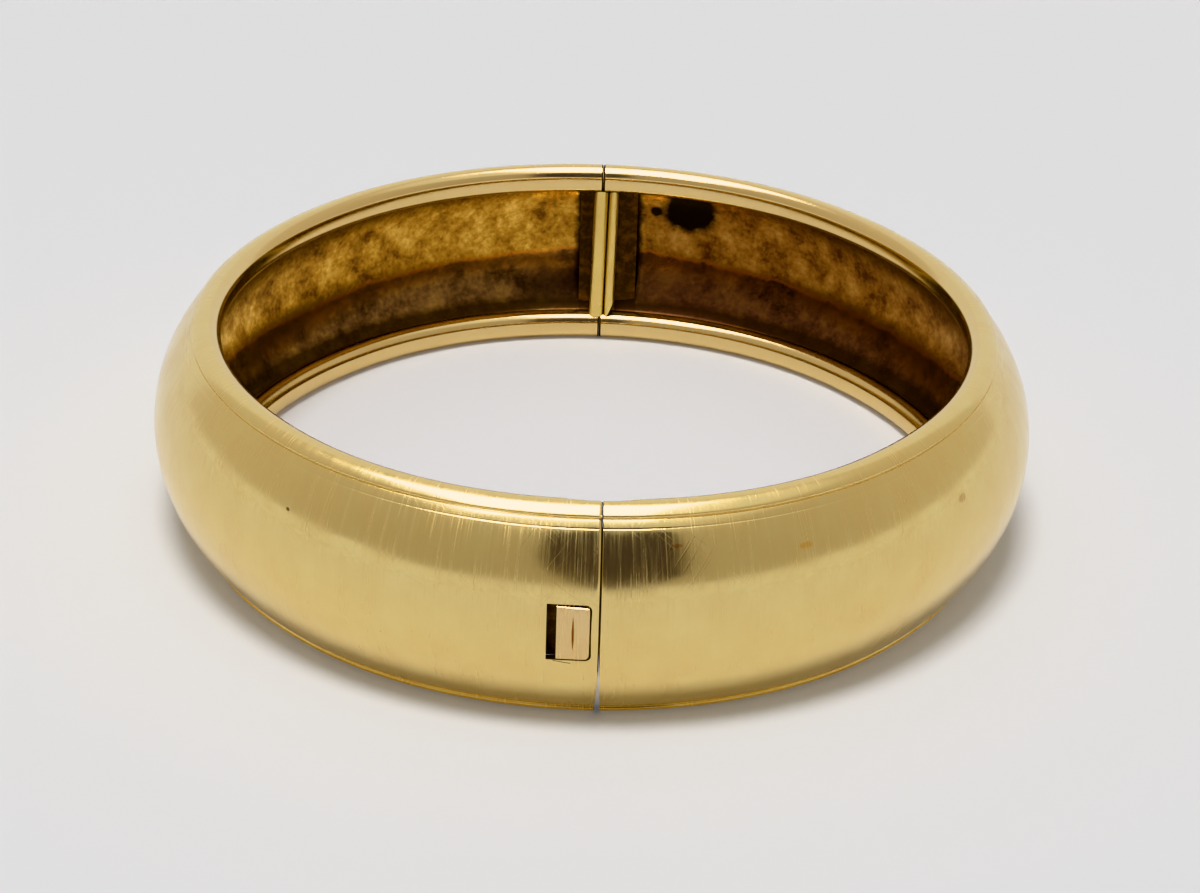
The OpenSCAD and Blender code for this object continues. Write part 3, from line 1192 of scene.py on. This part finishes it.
@dataclass(frozen=True)
class HalfShell:
    """One half's sheet and wires: the swept band, closed at the seams, with its openings."""

    band: Band
    side: Side
    left_edge: Pair = (0.26, 0.09)
    right_edge: Pair = (0.06, 0.03)
    back_edge: Pair = (0.12, 0.1)
    seam_zone: float = 2.5

    def build(self, finishes: Finishes, cutters: list[Mesh]) -> None:
        """Builds and dresses the half.

        Args:
            finishes: The materials.
            cutters: What is cut out of it.
        """
        mesh = Sweep(self.band, self.side).run()
        self.lean_foot(mesh)
        self.wear_rim(mesh)
        mesh = combine(mesh, [("DIFFERENCE", cutter) for cutter in cutters])
        self.round_off(mesh, -1, self.left_edge if self.side is Side.LEFT else self.right_edge)
        self.round_off(mesh, 1, self.back_edge)
        mesh.normal_update()
        for face in mesh.faces:
            face.material_index = self.band.skin_at(face).value
        skins = [finishes.outside, finishes.rim, finishes.inside, finishes.painted_shade]
        body = self.side.body
        finish_piece(f"{body}_band", mesh, skins, body, f"{body}_half")

    def round_off(self, mesh: Mesh, way: int, size: Pair, steps: int = 4) -> None:
        """Rounds the half off towards a seam, by pressing its surface in.

        Args:
            mesh: The half.
            way: -1 for the front seam and 1 for the back one.
            size: How far the rounding reaches from the seam, and how deep it is there.
            steps: Number of faces along it.
        """
        width, depth = size
        side = self.side.value
        seam = self.band.seam(self.side)
        for step in range(1, steps + 1):
            near = [v for v in mesh.verts if v.co.y * way > 0 and abs(v.co.x - seam) < self.seam_zone]
            edges = {e for v in near for e in v.link_edges}
            faces = {f for v in near for f in v.link_faces}
            bmesh.ops.bisect_plane(
                mesh,
                geom=near + list(edges) + list(faces),
                dist=1e-5,
                plane_co=(seam + side * width * step / steps, 0, 0),
                plane_no=(1, 0, 0),
            )
        mesh.normal_update()
        moves = []
        wire_h = self.band.mid_h - self.band.rim_h
        for vert in mesh.verts:
            share = 1 - (vert.co.x - seam) * side / width
            on_wire = abs(vert.co.z - self.band.mid_h) > wire_h
            if vert.co.y * way > 0 and 0 < share < 1.01 and (way < 0 or on_wire):
                inwards = Vector((0, -vert.normal.y, -vert.normal.z)).normalized()
                moves.append((vert, inwards * depth * share**2))
        for vert, move in moves:
            vert.co += move

    def lean_foot(self, mesh: Mesh) -> None:
        """Leans the foot of the front seam back, where the halves no longer meet."""
        band = self.band
        seam = band.seam(self.side)
        most = (band.seam_foot_gap - band.seam_gap) / 2
        fade = band.seam_foot_l
        for vert in mesh.verts:
            beyond = (vert.co.x - seam) * self.side.value
            if vert.co.y < 0 and vert.co.z < band.seam_foot_h and beyond < fade:
                share = (1 - vert.co.z / band.seam_foot_h) * (1 - beyond / fade)
                vert.co.x += self.side.value * most * share

    def wear_rim(self, mesh: Mesh) -> None:
        """Wears down the upper rim's inner edge at the front seam."""
        band = self.band
        foot = band.height - band.rim_h
        for vert in mesh.verts:
            near = 1 - abs(vert.co.x - band.seam_x) / band.wear_l
            if vert.co.y < 0 and vert.co.z > foot and near > 0:
                outwards = band.locate(vert.co)[0]
                inner = math.sqrt(max(0.0, 1 - outwards / band.rim_round))
                vert.co.z -= band.wear_d * near**1.5 * inner * (vert.co.z - foot) / band.rim_h


# The hinge


@dataclass(frozen=True)
class Hinge:
    """The bars that close the halves at the back, the three knuckles and the pin."""

    band: Band
    left_bar_t: float = 1.1
    right_bar_t: float = 0.77
    bar_lap: float = 0.4
    bar_gap: float = 0.12
    bar_round: float = 0.35
    bar_lean: float = 0.018
    lip_d: float = 1.3
    rebate_d: float = 1.45
    left_corner: float = 0.3
    right_corner_w: float = 0.62
    right_corner_h: float = 1.5
    seat_r: float = 2.7
    left_seat_l: float = 1.0
    right_seat_l: float = 1.7
    knuckle_r: float = 1.0
    height: float = 8.4
    mid_knuckle_h: float = 3.4
    knuckle_gap: float = 0.2
    knuckle_room: float = 0.12
    pin_r: float = 0.45
    bore_r: float = 0.5
    relief_w: float = 2.5
    relief_h: float = 9.2

    @property
    def breaks(self) -> list[float]:
        """Heights of the knuckles' ends."""
        mid = self.band.mid_h
        return [
            mid - self.height / 2,
            mid - self.mid_knuckle_h / 2,
            mid + self.mid_knuckle_h / 2,
            mid + self.height / 2,
        ]

    @property
    def axis(self) -> Pair:
        """x and y of the pin."""
        return (self.band.seam_x, self.band.hinge_y)

    def room(self, low: float, high: float) -> Mesh:
        """The round room that a half leaves for a knuckle of the other."""
        return tube(self.axis, low, high, self.knuckle_r + self.knuckle_room, 0, 0.01)

    def cutters(self, side: Side) -> list[Mesh]:
        """What is cut out of a half at the hinge: room to swing, and room for the other half's knuckles."""
        x, y = self.axis
        half_h = self.relief_h / 2
        relief = block(
            (x - self.relief_w / 2, y, self.band.mid_h - half_h),
            (x + self.relief_w / 2, y + 3, self.band.mid_h + half_h),
        )
        low, mid_low, mid_high, high = self.breaks
        edge = self.knuckle_gap / 4
        if side is Side.LEFT:
            return [relief, self.room(mid_low - edge, mid_high + edge)]
        return [
            relief,
            self.room(low - self.knuckle_gap, mid_low - edge),
            self.room(mid_high + edge, high + self.knuckle_gap),
        ]

    def knuckles(self, side: Side) -> list[Mesh]:
        """The knuckles of a half, as solid rods."""
        low, mid_low, mid_high, high = self.breaks
        gap = self.knuckle_gap / 2
        spans = [(mid_low + gap, mid_high - gap)]
        if side is Side.LEFT:
            spans = [(low, mid_low - gap), (mid_high + gap, high)]
        return [tube(self.axis, a, b, self.knuckle_r, 0, 0.08) for a, b in spans]

    def bar(self, side: Side) -> Mesh:
        """A half's bar: the lip that shows, the wall behind it, and the wide seat for the knuckles."""
        band = self.band
        seam = band.seam(side)
        line = band.seam_x + self.bar_lap + side.value * self.bar_gap / 2
        if side is Side.LEFT:
            far, depth, seat_l = line - self.left_bar_t, self.lip_d, self.left_seat_l
        else:
            far, depth, seat_l = line + self.right_bar_t, self.rebate_d, self.right_seat_l
        lip = self.rounded_lip(side, min(line, far), max(line, far), depth)
        wall = band.wall(band.wall_inset + depth - 0.1, min(seam, far), max(seam, far))
        seat_x = far + side.value * seat_l
        seat = band.wall(self.seat_r, min(seam, seat_x), max(seam, seat_x))
        return combine(wall, [("UNION", lip), ("UNION", seat)])

    def rounded_lip(self, side: Side, low_x: float, high_x: float, depth: float) -> Mesh:
        """The strip that shows: rounded along its edges, leaning a little, and clear of the rims.

        Args:
            side: The half.
            low_x: Its lowest x at mid height.
            high_x: Its highest x at mid height.
            depth: How deep it is, outwards.

        Returns:
            The strip.
        """
        band = self.band
        front = band.half_d + band.wall_inset
        r = self.bar_round
        pen = Pen(low_x, front + depth)
        pen.line_to(low_x, front + r)
        pen.arc_to((low_x + r, front + r), (low_x + r, front), 6, clockwise=False)
        pen.line_to(high_x - r, front)
        pen.arc_to((high_x - r, front + r), (high_x, front + r), 6, clockwise=False)
        pen.line_to(high_x, front + depth)
        low_z = band.rim_h - 0.4
        lip = upright(pen, low_z, band.height - low_z)
        if side is Side.LEFT:
            cut_off(lip, (low_x, 0, band.height - low_z - self.left_corner), (-1, 0, 1))
        else:
            way = (self.right_corner_h, 0, -self.right_corner_w)
            cut_off(lip, (high_x, 0, low_z + self.right_corner_h), way)
        for vert in lip.verts:
            vert.co.x += self.bar_lean * (vert.co.z - band.mid_h)
        return combine(lip, [("DIFFERENCE", room) for room in band.rim_rooms(low_x - 1, high_x + 1)])

    def build(self, finishes: Finishes) -> None:
        """Builds the bars with their knuckles, and the pin."""
        for side in Side:
            steps = [("DIFFERENCE", cutter) for cutter in self.cutters(side)]
            steps += [("UNION", knuckle) for knuckle in self.knuckles(side)]
            steps.append(("DIFFERENCE", tube(self.axis, 0, self.band.height, self.bore_r, 0, 0.01)))
            bar = combine(self.bar(side), steps)
            shown_y = self.band.half_d + self.band.wall_inset + self.bar_round
            # Faces behind the lip's rounded front take the painted shade.
            for face in bar.faces:
                face.material_index = int(face.calc_center_median().y > shown_y)
            skins = [finishes.bar, finishes.painted_shade]
            finish_piece(f"{side.body}_hinge_bar", bar, skins, side.body, f"{side.body}_half")
        pin = tube(self.axis, self.breaks[0], self.breaks[-1], self.pin_r, 0, 0.12, 32)
        finish_piece("hinge_pin_wire", pin, [finishes.pin], "left", "hinge_pin")


# The catch


@dataclass(frozen=True)
class Catch:
    """The walls that close the halves at the front, the window, the tongue and the sprung thumb piece.

    Distances along the band are measured inwards from the seam, to the left.
    """

    band: Band
    left_wall_t: float = 0.45
    right_wall_t: float = 0.8
    lap: float = 0.4
    lap_gap: float = 0.12
    lip_d: float = 0.9
    rebate_d: float = 1.05
    tongue_l: float = 8.0
    tongue_h: float = 4.6
    tongue_t: float = 0.5
    tongue_r: float = 2.3
    fold_t: float = 0.45
    fold_foot_r: float = 1.6
    fold_r: float = 2.9
    leaf_t: float = 0.4
    leaf_gap: float = 0.1
    leaf_angle: float = 7.3
    slot_r: float = 1.55
    slot_gap: float = 0.25
    window_l: float = 2.85
    window_h: float = 4.0
    window_corner_r: float = 0.42
    window_r: float = 3.5
    bridge_w: float = 0.55
    bridge_slant: float = 0.25
    thumb_l: float = 2.12
    thumb_gap: float = 0.1
    thumb_foot_r: float = 3.5
    thumb_corner_r: float = 0.32
    thumb_round: float = 0.05
    top_bevel: float = 0.16
    top_bevel_normal: Triple = (0.02, -0.5, 0.86)
    line_d: float = 0.1
    crack_l: float = 1.15
    crack_w: float = 0.05

    def outline(self, far: float, near: float, half_h: float, corner_r: float) -> Pen:
        """Draws an outline seen from the front, between two distances from the seam.

        Args:
            far: Distance of its left edge.
            near: Distance of its right edge, at the bridge.
            half_h: Half its height.
            corner_r: Radius of its corners at the bridge.

        Returns:
            The outline, not closed yet.
        """
        left, right = self.band.seam_x - far, self.band.seam_x - near
        low, high = self.band.mid_h - half_h, self.band.mid_h + half_h
        pen = Pen(left, low)
        pen.line_to(right - corner_r, low)
        pen.arc_to((right - corner_r, low + corner_r), (right, low + corner_r), 8, clockwise=False)
        pen.line_to(right, high - corner_r)
        pen.arc_to((right - corner_r, high - corner_r), (right - corner_r, high), 8, clockwise=False)
        pen.line_to(left, high)
        return pen

    def window(self) -> Mesh:
        """The window for the thumb piece, whose edge at the bridge slants back as it goes in."""
        band = self.band
        far = self.bridge_w + self.window_l
        pen = self.outline(far, self.bridge_w, self.window_h / 2, self.window_corner_r)
        mesh = prism(pen, -band.half_d - band.thickness - 0.4, -band.half_d - self.window_r)
        middle = band.seam_x - far / 2
        for vert in mesh.verts:
            if vert.co.x > middle:
                vert.co.x += self.bridge_slant * (vert.co.y + band.half_d + band.thickness)
        return mesh

    def crack(self) -> Mesh:
        """The fine crack in the dome just below the window."""
        band = self.band
        half_w = self.crack_w / 2
        mesh = block((0, -0.2, -half_w), (self.crack_l, 0.3, half_w))
        turn_about(mesh, "Y", math.radians(9))
        low_z = band.mid_h - self.window_h / 2 - 0.06
        surface_y = -band.half_d - band.dome_at(low_z)
        at = (band.seam_x - self.bridge_w - self.window_l + 0.45, surface_y, low_z)
        move(mesh, at)
        return mesh

    def at_front(self, mesh: Mesh) -> Mesh:
        """Mirrors a solid from the back of the band to the front, and returns it."""
        bmesh.ops.scale(mesh, vec=(1, -1, 1), verts=mesh.verts)
        bmesh.ops.recalc_face_normals(mesh, faces=mesh.faces)
        return mesh

    def left_wall(self) -> Mesh:
        """The left half's wall, with a slot for the tongue and a lip that laps past the seam."""
        band = self.band
        seam = band.seam(Side.LEFT)
        wall = self.at_front(band.wall(band.wall_inset, band.seam_x - self.left_wall_t, seam))
        lip_x = band.seam_x + self.lap - self.lap_gap / 2
        face_y = -band.half_d - band.wall_inset
        high_z = band.height - band.rim_h
        lip = block((seam - 0.05, face_y - self.lip_d, band.seam_foot_h), (lip_x, face_y, high_z))
        half_h = self.tongue_h / 2 + self.slot_gap
        slot = block(
            (seam - 2, -band.half_d - 6, band.mid_h - half_h),
            (seam + 1, -band.half_d - self.slot_r, band.mid_h + half_h),
        )
        return combine(wall, [("DIFFERENCE", slot), ("UNION", lip), ("DIFFERENCE", self.foot_wedge())])

    def right_wall(self) -> Mesh:
        """The right half's wall, rebated for the left half's lip."""
        band = self.band
        seam = band.seam(Side.RIGHT)
        wall = self.at_front(band.wall(band.wall_inset, seam, band.seam_x + self.right_wall_t))
        rebate = block(
            (seam - 1, -band.half_d - band.wall_inset - self.rebate_d, 0),
            (band.seam_x + self.lap + self.lap_gap / 2, 0, band.height),
        )
        return combine(wall, [("DIFFERENCE", rebate), ("DIFFERENCE", self.foot_wedge())])

    def foot_wedge(self) -> Mesh:
        """The wedge between the halves at the foot of the front seam."""
        band = self.band
        pen = Pen(band.seam_x - band.seam_foot_gap / 2, 0)
        pen.line_to(band.seam_x + band.seam_foot_gap / 2, 0)
        pen.line_to(band.seam_x + band.seam_gap / 2, band.seam_foot_h)
        pen.line_to(band.seam_x - band.seam_gap / 2, band.seam_foot_h)
        return prism(pen, -band.half_d - band.thickness, -band.half_d)

    def tongue(self) -> Mesh:
        """The tongue: a strip bent about the pin's axis, folded up at its tip."""
        band = self.band
        outer = band.hinge_y + band.half_d + self.tongue_r
        low_z = band.mid_h - self.tongue_h / 2
        pen = Pen(outer - self.tongue_t, low_z)
        pen.line_to(outer, low_z)
        pen.line_to(outer, low_z + self.tongue_h)
        pen.line_to(outer - self.tongue_t, low_z + self.tongue_h)
        centre = (band.seam_x, band.hinge_y)
        from_a = math.asin(self.right_wall_t / 2 / outer)
        to_a = -math.asin(self.tongue_l / outer)
        mesh = spun_solid(pen, centre, from_a, to_a, 24)
        tip = band.seam_x - self.tongue_l
        fold = block(
            (tip, -band.half_d - self.fold_r, low_z),
            (tip + self.fold_t, -band.half_d - self.fold_foot_r, low_z + self.tongue_h),
            0.12,
            3,
        )
        return combine(mesh, [("UNION", fold)])

    def leaf(self) -> Mesh:
        """The spring leaf that carries the thumb piece."""
        band = self.band
        inset = self.fold_t + self.leaf_gap
        root_x = band.seam_x - self.tongue_l + inset
        root_y = -band.half_d - self.fold_r + self.leaf_t
        length = (self.tongue_l - inset - self.leaf_gap) / math.cos(math.radians(self.leaf_angle))
        low_z = band.mid_h - self.tongue_h / 2
        mesh = block((0, -self.leaf_t, low_z), (length, 0, low_z + self.tongue_h), 0.07, 2)
        turn_about(mesh, "Z", math.radians(-self.leaf_angle))
        move(mesh, (root_x, root_y, 0))
        return mesh

    def thumb(self) -> Mesh:
        """The thumb piece: a block whose face follows the dome, with rounded edges and a filed line."""
        band = self.band
        near = self.bridge_w + self.thumb_gap
        half_h = self.window_h / 2 - self.thumb_gap
        pen = self.outline(near + self.thumb_l, near, half_h, self.thumb_corner_r)
        mesh = prism(pen, -band.half_d - band.thickness - 1, -band.half_d - self.thumb_foot_r)
        low, high = band.mid_h - band.rim_h, band.mid_h + band.rim_h
        dome = Pen(band.end_r + 1, low)
        dome.line_to(band.end_r + band.dome_at(low), low)
        centre = (band.end_r + band.dome_c[0], band.mid_h)
        dome.arc_to(centre, (band.end_r + band.dome_at(high), high), 10, clockwise=False)
        dome.line_to(band.end_r + 1, high)
        right_a = math.radians(2)
        left_a = -math.asin(4 / (band.end_r + band.thickness))
        body = spun_solid(dome, (0, -band.arc_c), right_a, left_a, 8)
        mesh = combine(mesh, [("INTERSECT", body)])
        face_y = -band.half_d - self.thumb_foot_r - 0.3
        top_z = band.mid_h + half_h
        top = (0, -band.half_d - band.dome_at(top_z) - 0.02, top_z - self.top_bevel)
        cut_off(mesh, top, self.top_bevel_normal)
        shown = [e for e in sharp_edges(mesh) if all(v.co.y < face_y for v in e.verts)]
        round_edges(mesh, shown, self.thumb_round, 3)
        return combine(mesh, [("DIFFERENCE", self.filed_line(near + self.thumb_l / 2))])

    def filed_line(self, from_seam: float) -> Mesh:
        """The corner of a file, which cuts the line and runs out where the thumb piece curves away."""
        band = self.band
        mesh = block((0, 0, 0), (1, 1, band.height))
        turn_about(mesh, "Z", math.radians(-135))
        bottom = self.line_d - band.half_d - band.thickness
        move(mesh, (band.seam_x - from_seam, bottom, 0))
        return mesh

    def build(self, finishes: Finishes) -> None:
        """Builds the walls, the tongue, the leaf and the thumb piece."""
        # The walls, the tongue and the leaf inside the catch take the painted shade.
        dark = [finishes.painted_shade]
        finish_piece("left_catch_wall", self.left_wall(), dark, "left", "left_half")
        finish_piece("right_catch_wall", self.right_wall(), dark, "right", "right_half")
        finish_piece("catch_tongue", self.tongue(), dark, "right", "right_half")
        finish_piece("spring_leaf", self.leaf(), dark, "thumb", "thumb_piece")
        thumb = self.thumb()
        thumb.normal_update()
        line_x = self.band.seam_x - self.bridge_w - self.thumb_gap - self.thumb_l / 2
        for face in thumb.faces:
            in_line = abs(face.calc_center_median().x - line_x) < self.line_d and abs(face.normal.x) > 0.6
            face.material_index = int(in_line)
        skins = [finishes.rose, finishes.filed]
        finish_piece("thumb_button", thumb, skins, "thumb", "thumb_piece")


# The studio


@dataclass(frozen=True)
class Studio:
    """The pale floor, the soft light, and the camera at the photograph's angle."""

    mid_h: float
    focal: float = 92.325
    sensor_w: float = 36.0
    distance: float = 226.455
    offset: Pair = (-0.5565, -2.9304)
    elevation_deg: float = 25.235
    roll_deg: float = 1.828
    yaw_deg: float = 0.677
    floor_size: float = 4000.0
    room_light: float = 0.80
    dim_light: float = 0.46
    dim_far_light: float = 0.67
    dim_side: Pair = (0.64, 0.7)
    dim_foot: Pair = (0.165, 0.03)
    dim_top: Pair = (0.74, 0.86)
    matt_share: float = 0.42
    floor_glow: float = 0.13
    card_outline: tuple[Pair, ...] = (
        (8, 42), (54, 48), (109, 88), (117, 153), (132, 323), (-60, 323), (-60, 153), (-51, 110), (-31, 84)
    )
    softbox_size: Pair = (0.355, 0.443)
    softbox_at: Triple = (-0.0725, -0.0215, 0.5)
    softbox_power: float = 6.0
    sun_width_deg: float = 21.0
    sun_strength: float = 1.9
    sun_lean_deg: Pair = (12.0, -4.0)

    def camera(self) -> None:
        """Stands the camera where the photograph was taken from."""
        tilt = math.radians(90 - self.elevation_deg)
        turn = (
            Matrix.Rotation(math.radians(-self.yaw_deg), 3, "Z")
            @ Matrix.Rotation(tilt, 3, "X")
            @ Matrix.Rotation(math.radians(self.roll_deg), 3, "Z")
        )
        away = Vector((-self.offset[0], self.offset[1], self.distance))
        at = turn @ away + Vector((0, 0, self.mid_h))
        data = bpy.data.cameras.new("camera")
        data.sensor_width = self.sensor_w
        data.lens = self.focal
        data.clip_start = 10 * MM
        eye = bpy.data.objects.new("camera", data)
        eye.matrix_world = Matrix.LocRotScale(at * MM, turn.to_quaternion(), None)
        bpy.context.scene.collection.objects.link(eye)
        bpy.context.scene.camera = eye

    def sheet(self, name: str, mesh: Mesh, colour: str, glow: float) -> bpy.types.Object:
        """Makes a piece of the studio, which is no part of the bangle.

        Args:
            name: Name of the piece.
            mesh: Its mesh, in millimetres.
            colour: Its colour.
            glow: Light that it gives off, or 0 for plain matt paper.

        Returns:
            The piece.
        """
        piece = add_object(name, mesh)
        material = bpy.data.materials.new(f"{name}_matt")
        material.use_nodes = True
        shader = material.node_tree.nodes["Principled BSDF"]
        shader.inputs["Base Color"].default_value = hex_colour(colour)
        shader.inputs["Roughness"].default_value = 0.9
        shader.inputs["Specular IOR Level"].default_value = 0.0
        if glow:
            shader.inputs["Emission Color"].default_value = hex_colour(colour)
            shader.inputs["Emission Strength"].default_value = glow
        piece.data.materials.append(material)
        return piece

    def floor(self) -> None:
        """Lays the floor."""
        mesh = bmesh.new()
        bmesh.ops.create_grid(mesh, x_segments=1, y_segments=1, size=self.floor_size / 2)
        self.sheet("floor", mesh, "#E4E4E6", self.floor_glow)

    def card(self) -> None:
        """Hangs the dark card whose reflection shows in the front of the band."""
        first, *others = self.card_outline
        pen = Pen(*first)
        for x, z in others:
            pen.line_to(x, z)
        mesh = prism(pen, -252, -250)
        card = self.sheet("dark_card", mesh, "#716D83", 0.0)
        card.visible_camera = False
        card.visible_shadow = False
        card.visible_diffuse = False

    def room(self) -> None:
        """Lights the room evenly, dimmer on the camera's side above the floor's reflected glow."""
        world = bpy.data.worlds.new("room")
        world.use_nodes = True
        tree = world.node_tree
        tree.nodes.clear()
        direction = add_node(tree, "TexCoord")["Generated"]
        split = add_node(tree, "SeparateXYZ", {0: direction})
        smooth = {"interpolation_type": "SMOOTHSTEP"}
        edge = add_node(
            tree, "MapRange", {0: split[1], 1: -0.4, 2: 0.65, 3: self.dim_foot[0], 4: self.dim_foot[1]}
        )[0]
        above = add_node(tree, "Math", {0: split[2], 1: edge}, operation="SUBTRACT")[0]
        rise = add_node(tree, "MapRange", {0: above, 1: -0.02, 2: 0.03, 3: 0.0, 4: 1.0}, **smooth)[0]
        low, high = self.dim_top
        fall = add_node(tree, "MapRange", {0: split[2], 1: low, 2: high, 3: 1.0, 4: 0.0}, **smooth)[0]
        near, far = self.dim_side
        dim = add_node(
            tree, "MapRange", {0: split[1], 1: -0.95, 2: near, 3: self.dim_light, 4: self.dim_far_light}
        )[0]
        side = add_node(tree, "MapRange", {0: split[1], 1: near, 2: far, 3: 1.0, 4: 0.0}, **smooth)[0]
        band = add_node(tree, "Math", {0: rise, 1: fall}, operation="MULTIPLY")[0]
        both = add_node(tree, "Math", {0: band, 1: side}, operation="MULTIPLY")[0]
        level = add_node(tree, "MapRange", {0: both, 1: 0.0, 2: 1.0, 3: self.room_light, 4: dim})[0]
        matt = add_node(tree, "LightPath")["Is Diffuse Ray"]
        share = add_node(tree, "MapRange", {0: matt, 1: 0.0, 2: 1.0, 3: 1.0, 4: self.matt_share})[0]
        strength = add_node(tree, "Math", {0: level, 1: share}, operation="MULTIPLY")[0]
        tint = add_node(
            tree, "Mix", {0: both, 6: (1.0, 1.0, 1.01, 1.0), 7: (1.0, 0.93, 0.86, 1.0)}, data_type="RGBA"
        )[2]
        light = add_node(tree, "Background", {"Strength": strength, "Color": tint})
        add_node(tree, "OutputWorld", {"Surface": light[0]})
        bpy.context.scene.world = world

    def lamp(self, name: str, kind: str, energy: float) -> bpy.types.Object:
        """Makes a lamp of a kind and strength, and puts it in the scene."""
        data = bpy.data.lights.new(name, kind)
        data.energy = energy
        lamp = bpy.data.objects.new(name, data)
        bpy.context.scene.collection.objects.link(lamp)
        return lamp

    def lamps(self) -> None:
        """Hangs the soft light that the bangle mirrors, and the light from above that the floor takes."""
        softbox = self.lamp("softbox", "AREA", self.softbox_power)
        softbox.data.shape = "RECTANGLE"
        softbox.data.size, softbox.data.size_y = self.softbox_size
        softbox.location = self.softbox_at
        softbox.visible_diffuse = False
        sun = self.lamp("overhead", "SUN", self.sun_strength)
        sun.data.angle = math.radians(self.sun_width_deg)
        sun.rotation_euler = (*(math.radians(a) for a in self.sun_lean_deg), 0)
        sun.visible_glossy = False

    def build(self) -> None:
        """Builds the studio and sets how its light is shown."""
        self.camera()
        self.floor()
        self.card()
        self.room()
        self.lamps()
        view = bpy.context.scene.view_settings
        view.view_transform = "Khronos PBR Neutral"
        view.look = "None"


def pin_place() -> Pair:
    """Reads from the frame where the hinge's pin stands, in millimetres."""
    hinge = next(j for j in frame["joints"] if j["name"] == "hinge")
    return (hinge["pos_m"][0] / MM, hinge["pos_m"][1] / MM)


def main() -> None:
    """Builds the studio and the bangle."""
    logging.basicConfig(level=logging.INFO, format="%(message)s")
    seam_x, hinge_y = pin_place()
    height = round(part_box("left_half")[1].z / MM, 2)
    band = Band(height=height, seam_x=seam_x, hinge_y=hinge_y)
    studio = Studio(mid_h=band.mid_h)
    studio.build()
    finishes = Finishes.build()
    hinge = Hinge(band)
    catch = Catch(band)
    HalfShell(band, Side.LEFT).build(finishes, [*hinge.cutters(Side.LEFT), catch.window(), catch.crack()])
    HalfShell(band, Side.RIGHT).build(finishes, hinge.cutters(Side.RIGHT))
    hinge.build(finishes)
    catch.build(finishes)


if __name__ == "__main__":
    main()
